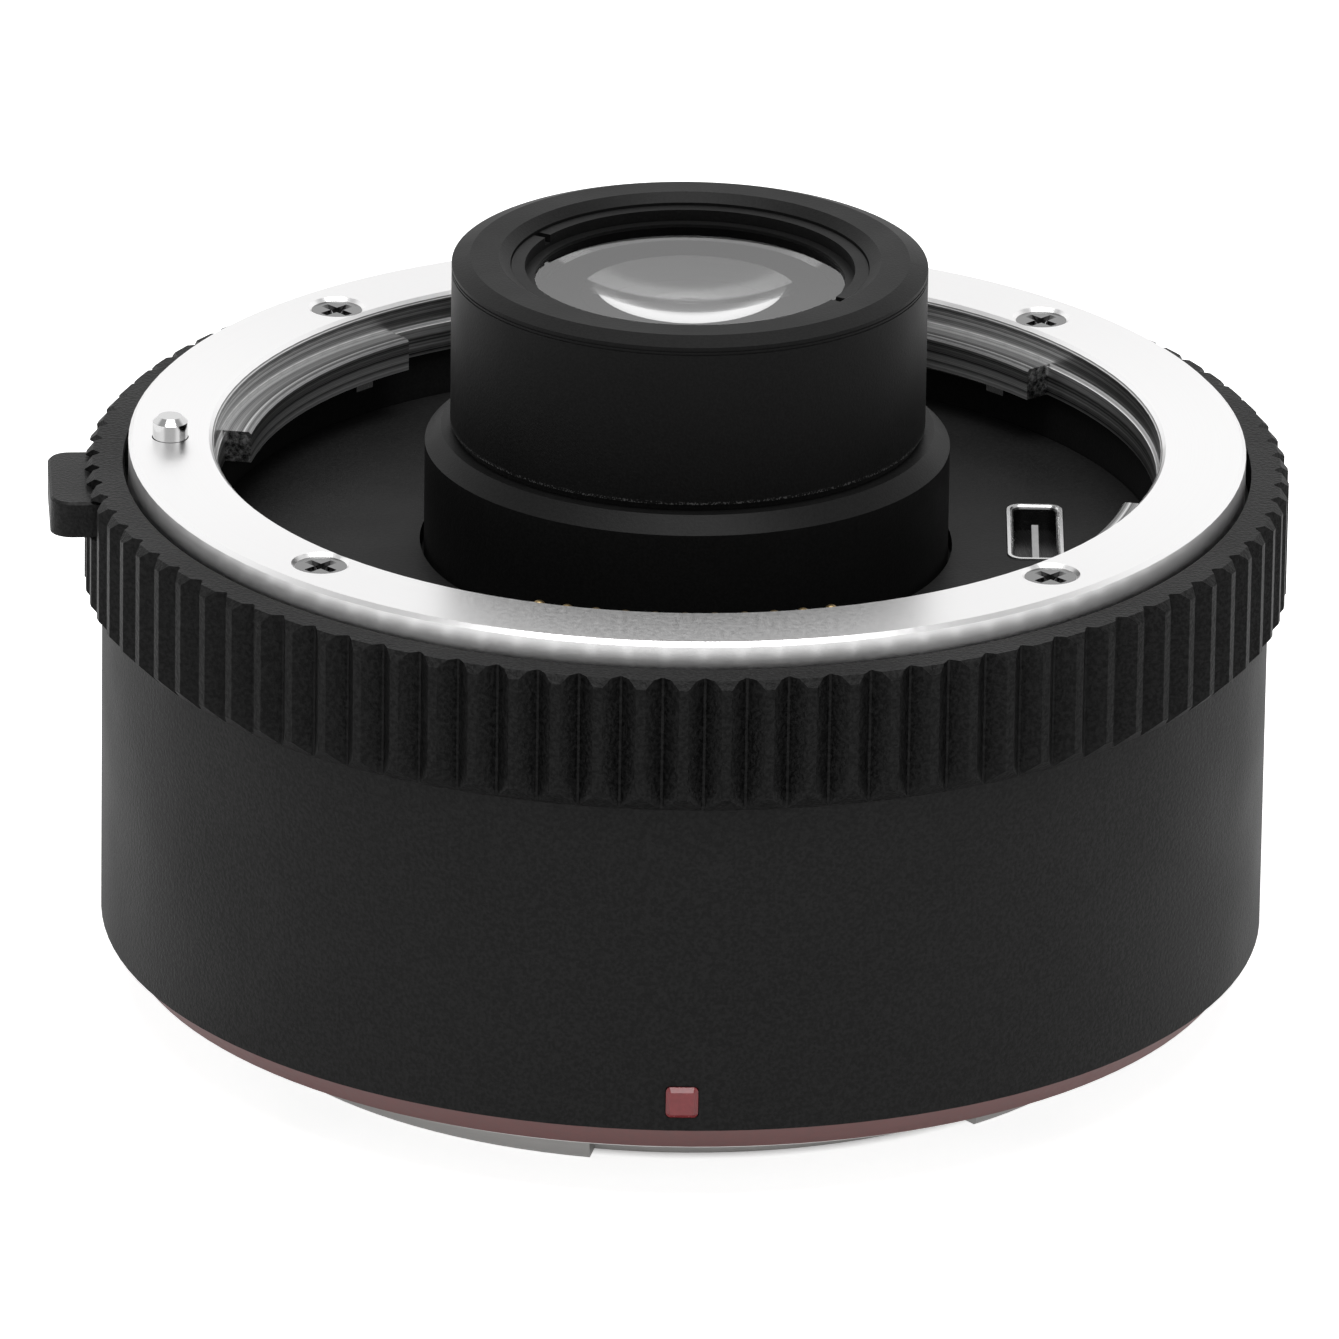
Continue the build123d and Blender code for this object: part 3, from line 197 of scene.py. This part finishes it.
def radius_and_height(nodes, links):
    """Distance from the optical axis, height, and both as one vector, for turned surfaces."""
    split = nodes.new("ShaderNodeSeparateXYZ")
    links.new(object_coordinates(nodes), split.inputs[0])
    flat = nodes.new("ShaderNodeCombineXYZ")
    links.new(split.outputs["X"], flat.inputs["X"])
    links.new(split.outputs["Y"], flat.inputs["Y"])
    length = nodes.new("ShaderNodeVectorMath")
    length.operation = "LENGTH"
    links.new(flat.outputs[0], length.inputs[0])
    both = nodes.new("ShaderNodeCombineXYZ")
    links.new(length.outputs["Value"], both.inputs["X"])
    links.new(split.outputs["Z"], both.inputs["Y"])
    return length.outputs["Value"], split.outputs["Z"], both.outputs[0]


def black_finish(name, color, rough, specular, grain_scale, grain_strength, speckle=0.01,
                 dust=None):
    """Black paint with a fine powdered grain, and specks of dust between two heights if given."""
    material, nodes, links, shader = new_material(name)
    shader.inputs["Specular IOR Level"].default_value = specular
    place = object_coordinates(nodes)
    grain = noise(nodes, links, place, grain_scale, 3.0, 0.6)
    patch = noise(nodes, links, place, grain_scale / 40, 2.0)
    paint = ramp(nodes, links, grain, ((0.4, color), (0.62, color + speckle)))
    if dust:
        band = within(nodes, links, radius_and_height(nodes, links)[1], *dust, 0.1)
        grit = noise(nodes, links, place, DUST_SCALE, 2.0)
        specks = ramp(nodes, links, grit, ((0.52, 0.0), (0.6, 1.0)))
        share = maths(nodes, links, "MULTIPLY", band, specks)
        paint = blend_colors(nodes, links, share, paint, DUST_COLOR)
    links.new(paint, shader.inputs["Base Color"])
    links.new(ramp(nodes, links, patch, ((0.3, rough - 0.04), (0.7, rough + 0.04))),
              shader.inputs["Roughness"])
    links.new(bump(nodes, links, grain, grain_strength, 0.1 * MM), shader.inputs["Normal"])
    return material


def turned_metal(name, color, rough, line_scale, line_strength, spread=0.0, bore=None):
    """Metal turned on a lathe: fine rings that follow the radius and the height.

    Inside the bore's radius, dark and bright streaks are painted into the colour: a painted
    reflection of the surroundings, not the metal's own tone."""
    material, nodes, links, shader = new_material(name)
    shader.inputs["Metallic"].default_value = 1.0
    radius, _, both = radius_and_height(nodes, links)
    rings = noise(nodes, links, both, line_scale, 3.0, 0.7)
    wear = noise(nodes, links, object_coordinates(nodes), 3000, 3.0)
    dark = tuple(c * 0.96 for c in color)
    tint = ramp(nodes, links, rings, ((0.3, dark), (0.7, color)))
    # Painted reflection: inside this radius the colour runs in streaks from near black to near
    # white, standing in for reflections on the polished walls
    if bore:
        streaks = noise(nodes, links, both, line_scale / 5, 4.0, 0.75)
        painted_reflection_streaks = ramp(nodes, links, streaks, ((0.38, 0.05), (0.5, 0.35), (0.62, 0.95)))
        tint = blend_colors(nodes, links, within(nodes, links, radius, 0, bore, 0.02), tint, painted_reflection_streaks)
    links.new(tint, shader.inputs["Base Color"])
    links.new(ramp(nodes, links, wear, ((0.3, rough * 0.92), (0.7, rough * 1.08))),
              shader.inputs["Roughness"])
    links.new(bump(nodes, links, rings, line_strength, 0.02 * MM), shader.inputs["Normal"])
    if spread:
        shader.inputs["Anisotropic"].default_value = spread
        shader.inputs["Anisotropic Rotation"].default_value = QUARTER_TURN
        tangent = nodes.new("ShaderNodeTangent")
        tangent.direction_type = "RADIAL"
        tangent.axis = "Z"
        links.new(tangent.outputs[0], shader.inputs["Tangent"])
    return material


def painted(name, color, rough, coat):
    """Smooth coloured paint with slight unevenness."""
    material, nodes, links, shader = new_material(name)
    patch = noise(nodes, links, object_coordinates(nodes), 2500, 3.0)
    dark = tuple(c * 0.85 for c in color)
    links.new(ramp(nodes, links, patch, ((0.35, dark), (0.65, color))), shader.inputs["Base Color"])
    links.new(ramp(nodes, links, patch, ((0.3, rough * 0.9), (0.7, rough * 1.1))),
              shader.inputs["Roughness"])
    shader.inputs["Coat Weight"].default_value = coat
    links.new(bump(nodes, links, patch, 0.1, 0.05 * MM), shader.inputs["Normal"])
    return material


def glass_material(name, blackened=None):
    """Clear optical glass. The front element has a blackened band on its rear surface."""
    material, nodes, links, shader = new_material(name)
    shader.inputs["Base Color"].default_value = (1, 1, 1, 1)
    shader.inputs["Roughness"].default_value = 0.0
    shader.inputs["Transmission Weight"].default_value = 1.0
    shader.inputs["IOR"].default_value = GLASS_IOR
    if blackened:
        inner, outer, top = blackened
        radius, height, _ = radius_and_height(nodes, links)
        band = maths(nodes, links, "MULTIPLY", within(nodes, links, radius, inner, outer, 0.02),
                     within(nodes, links, height, 0, top, 0.02))
        paint = nodes.new("ShaderNodeBsdfDiffuse")
        paint.inputs["Color"].default_value = (0.003, 0.003, 0.003, 1)
        mix = nodes.new("ShaderNodeMixShader")
        links.new(band, mix.inputs["Fac"])
        links.new(shader.outputs[0], mix.inputs[1])
        links.new(paint.outputs[0], mix.inputs[2])
        links.new(mix.outputs[0], nodes["Material Output"].inputs["Surface"])
    return material


def liner_material(name):
    """A black cup whose bevelled rim is bare polished metal."""
    material, nodes, links, shader = new_material(name)
    _, height, both = radius_and_height(nodes, links)
    rim = within(nodes, links, height, SLOT_RIM_HEIGHT, 2 * SLOT_RIM_HEIGHT, 0.05)
    streak = noise(nodes, links, both, 15000, 3.0, 0.6)
    bright = ramp(nodes, links, streak, ((0.3, 0.7), (0.7, 0.85)))
    links.new(blend_colors(nodes, links, rim, (0.006, 0.006, 0.006), bright),
              shader.inputs["Base Color"])
    links.new(rim, shader.inputs["Metallic"])
    links.new(ramp(nodes, links, streak, ((0.3, 0.2), (0.7, 0.3))), shader.inputs["Roughness"])
    return material


# Colour, roughness, specular level, the grain's scale and strength, speckle, and any dust
BLACK_FINISHES = {
    "barrel_black": (0.008, 0.5, 0.12, 4200, 0.5, 0.008),
    "grip_black": (0.002, 0.42, 0.11, 4200, 0.6, 0.01),
    "inner_black": (0.008, 0.5, 0.12, 5000, 0.2, 0.004),
    "snout_black": (0.006, 0.45, 0.11, 6000, 0.15, 0.003, SNOUT_DUST),
    "lever_black": (0.003, 0.4, 0.15, 5000, 0.5, 0.01),
    "ring_black": (0.006, 0.45, 0.12, 6000, 0.1, 0.003),
    "block_black": (0.01, 0.35, 0.3, 5000, 0.1, 0.004),
    "gasket_rubber": (0.004, 0.6, 0.1, 5000, 0.1, 0.003),
    "chip_black": (0.02, 0.5, 0.4, 6000, 0.2, 0.01),
    "tongue_grey": (0.3, 0.3, 0.4, 6000, 0.05, 0.05),
}

# Colour, roughness, the rings' scale and strength, anisotropy, and the radius inside which dark and
# bright streaks of painted reflection go into the colour
TURNED_METALS = {
    "flange_chrome": ((0.98, 0.975, 0.975), 0.3, 12000, 0.02, 0.6, THROAT_EDGE_RADIUS),
    "rear_steel": ((0.55, 0.54, 0.53), 0.35, 9000, 0.2),
    "screw_steel": ((0.22, 0.22, 0.22), 0.08, 20000, 0.05),
    "small_screw_steel": ((0.2, 0.2, 0.2), 0.3, 20000, 0.1),
    "spring_steel": ((0.5, 0.5, 0.5), 0.25, 9000, 0.1),
    "pin_steel": ((0.7, 0.7, 0.7), 0.1, 20000, 0.1),
    "contact_gold": ((0.3, 0.22, 0.11), 0.4, 20000, 0.05),
    "shim_steel": ((0.6, 0.6, 0.6), 0.3, 9000, 0.1),
}

# Colour, roughness and the coat's weight
PAINTS = {
    "red_paint": ((0.16, 0.06, 0.057), 0.45, 0.0),
    "red_mark": ((0.25, 0.03, 0.035), 0.25, 0.15),
    "board_green": ((0.02, 0.14, 0.05), 0.35, 0.2),
    "flex_amber": ((0.4, 0.18, 0.04), 0.3, 0.2),
}

MATERIALS = {"liner_bright": liner_material("liner_bright"),
             "lens_glass": glass_material("lens_glass")}
for make, table in ((black_finish, BLACK_FINISHES), (turned_metal, TURNED_METALS),
                    (painted, PAINTS)):
    for name, values in table.items():
        MATERIALS[name] = make(name, *values)

for part in frame["record"]["subparts"]:
    piece = frame["nodes"][part["node"]]
    piece.data.materials.clear()
    piece.data.materials.append(MATERIALS[part["material_slot"]])
front_glass = frame["nodes"]["lens_1"].data
front_glass.materials.clear()
front_glass.materials.append(glass_material("front_lens_glass", BLACKENED_BAND))


# Springs: copies of the coils in place of the CAD nodes

def add_spring(name, node):
    """A copy of the coil in place of the CAD node, attached to the same body."""
    spring = bpy.data.objects.new(name, frame["nodes"][node].data.copy())
    bpy.context.scene.collection.objects.link(spring)
    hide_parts(node)
    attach(spring, frame["nodes"][node]["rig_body"])
    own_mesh(spring)


add_spring("pin_coil", "lock_pin_spring")
add_spring("lever_coil", "lever_return_spring")


# Camera

def add_camera():
    tilt, roll = radians(CAMERA_ELEVATION), radians(CAMERA_ROLL)
    right = Vector((1, 0, 0))
    back = Vector((0, -cos(tilt), sin(tilt)))
    up = Vector((0, sin(tilt), cos(tilt)))
    place = back * CAMERA_DISTANCE - right * CAMERA_RIGHT - up * CAMERA_UP + AXIS_UP * CAMERA_HEIGHT
    rolled_right = right * cos(roll) + up * sin(roll)
    rolled_up = up * cos(roll) - right * sin(roll)
    turn = Matrix((rolled_right, rolled_up, back)).transposed()
    data = bpy.data.cameras.new("photo_camera")
    data.sensor_width = 36
    data.lens = FOCAL_LENGTH
    data.clip_end = 10
    camera = bpy.data.objects.new("photo_camera", data)
    camera.matrix_world = Matrix.Translation(place * MM) @ turn.to_4x4()
    bpy.context.scene.collection.objects.link(camera)
    bpy.context.scene.camera = camera


# Light and floor

def seen_directly(nodes, links, mirrored=1.0):
    """1 for rays from the camera and glass, a given share for mirrors, 0 for diffuse light."""
    path = nodes.new("ShaderNodeLightPath")
    glossy = maths(nodes, links, "MULTIPLY", path.outputs["Is Glossy Ray"], mirrored)
    total = maths(nodes, links, "ADD", path.outputs["Is Camera Ray"], glossy)
    return maths(nodes, links, "ADD", total, path.outputs["Is Transmission Ray"], clamp=True)


def add_world():
    """A white room, dimmer overhead and in front, with a soft even light for diffuse surfaces."""
    world = bpy.data.worlds.new("studio")
    bpy.context.scene.world = world
    world.use_nodes = True
    nodes, links = world.node_tree.nodes, world.node_tree.links
    soft = nodes["Background"]
    soft.inputs["Color"].default_value = (1, 1, 1, 1)
    soft.inputs["Strength"].default_value = WORLD_LIGHT
    split = nodes.new("ShaderNodeSeparateXYZ")
    links.new(nodes.new("ShaderNodeTexCoord").outputs["Generated"], split.inputs[0])
    room = nodes.new("ShaderNodeBackground")
    front = maths(nodes, links, "MULTIPLY", split.outputs["Y"], -1.0)
    links.new(maths(nodes, links, "MULTIPLY", ramp(nodes, links, split.outputs["Z"], ROOM_STOPS),
                    ramp(nodes, links, front, FRONT_STOPS)), room.inputs["Color"])
    room.inputs["Strength"].default_value = 1.0
    mix = nodes.new("ShaderNodeMixShader")
    links.new(seen_directly(nodes, links), mix.inputs["Fac"])
    links.new(soft.outputs[0], mix.inputs[1])
    links.new(room.outputs[0], mix.inputs[2])
    links.new(mix.outputs[0], nodes["World Output"].inputs["Surface"])


def add_area(name, place, target, size, watts):
    data = bpy.data.lights.new(name, "AREA")
    data.shape = "RECTANGLE"
    data.size, data.size_y = size
    data.energy = watts
    lamp = bpy.data.objects.new(name, data)
    lamp.location = place
    lamp.rotation_euler = (Vector(place) - Vector(target)).to_track_quat("Z", "Y").to_euler()
    lamp.visible_transmission = False
    bpy.context.scene.collection.objects.link(lamp)


def add_floor():
    """A pale floor that the camera sees as white, but for the shade under the object.

    Mirrors see less of the added white, so that polished metal keeps some tone."""
    side = FLOOR_HALF_SIDE
    corners = [(-side, -side), (side, -side), (side, side), (-side, side)]
    mesh = bpy.data.meshes.new("floor")
    mesh.from_pydata([(x, y, FLOOR_Z) for x, y in corners], [], [(0, 1, 2, 3)])
    floor = bpy.data.objects.new("floor", mesh)
    bpy.context.scene.collection.objects.link(floor)
    material, nodes, links, shader = new_material("pale_floor")
    shader.inputs["Base Color"].default_value = (0.86, 0.86, 0.86, 1)
    shader.inputs["Roughness"].default_value = 0.9
    radius = radius_and_height(nodes, links)[0]
    outside = within(nodes, links, radius, FLOOR_SHADE_RADIUS, 10 * side / MM, FLOOR_SHADE_BLUR)
    seen = maths(nodes, links, "MULTIPLY", seen_directly(nodes, links, FLOOR_MIRRORED), FLOOR_GLOW)
    glow = nodes.new("ShaderNodeEmission")
    glow.inputs["Color"].default_value = (1, 1, 1, 1)
    links.new(maths(nodes, links, "MULTIPLY", seen, outside), glow.inputs["Strength"])
    both = nodes.new("ShaderNodeAddShader")
    links.new(shader.outputs[0], both.inputs[0])
    links.new(glow.outputs[0], both.inputs[1])
    links.new(both.outputs[0], nodes["Material Output"].inputs["Surface"])
    mesh.materials.append(material)


bpy.context.scene.view_settings.view_transform = "Standard"
add_camera()
add_world()
add_floor()
add_area("overhead", LAMP_PLACE, LAMP_AIM, LAMP_SIZE, LAMP_WATTS)
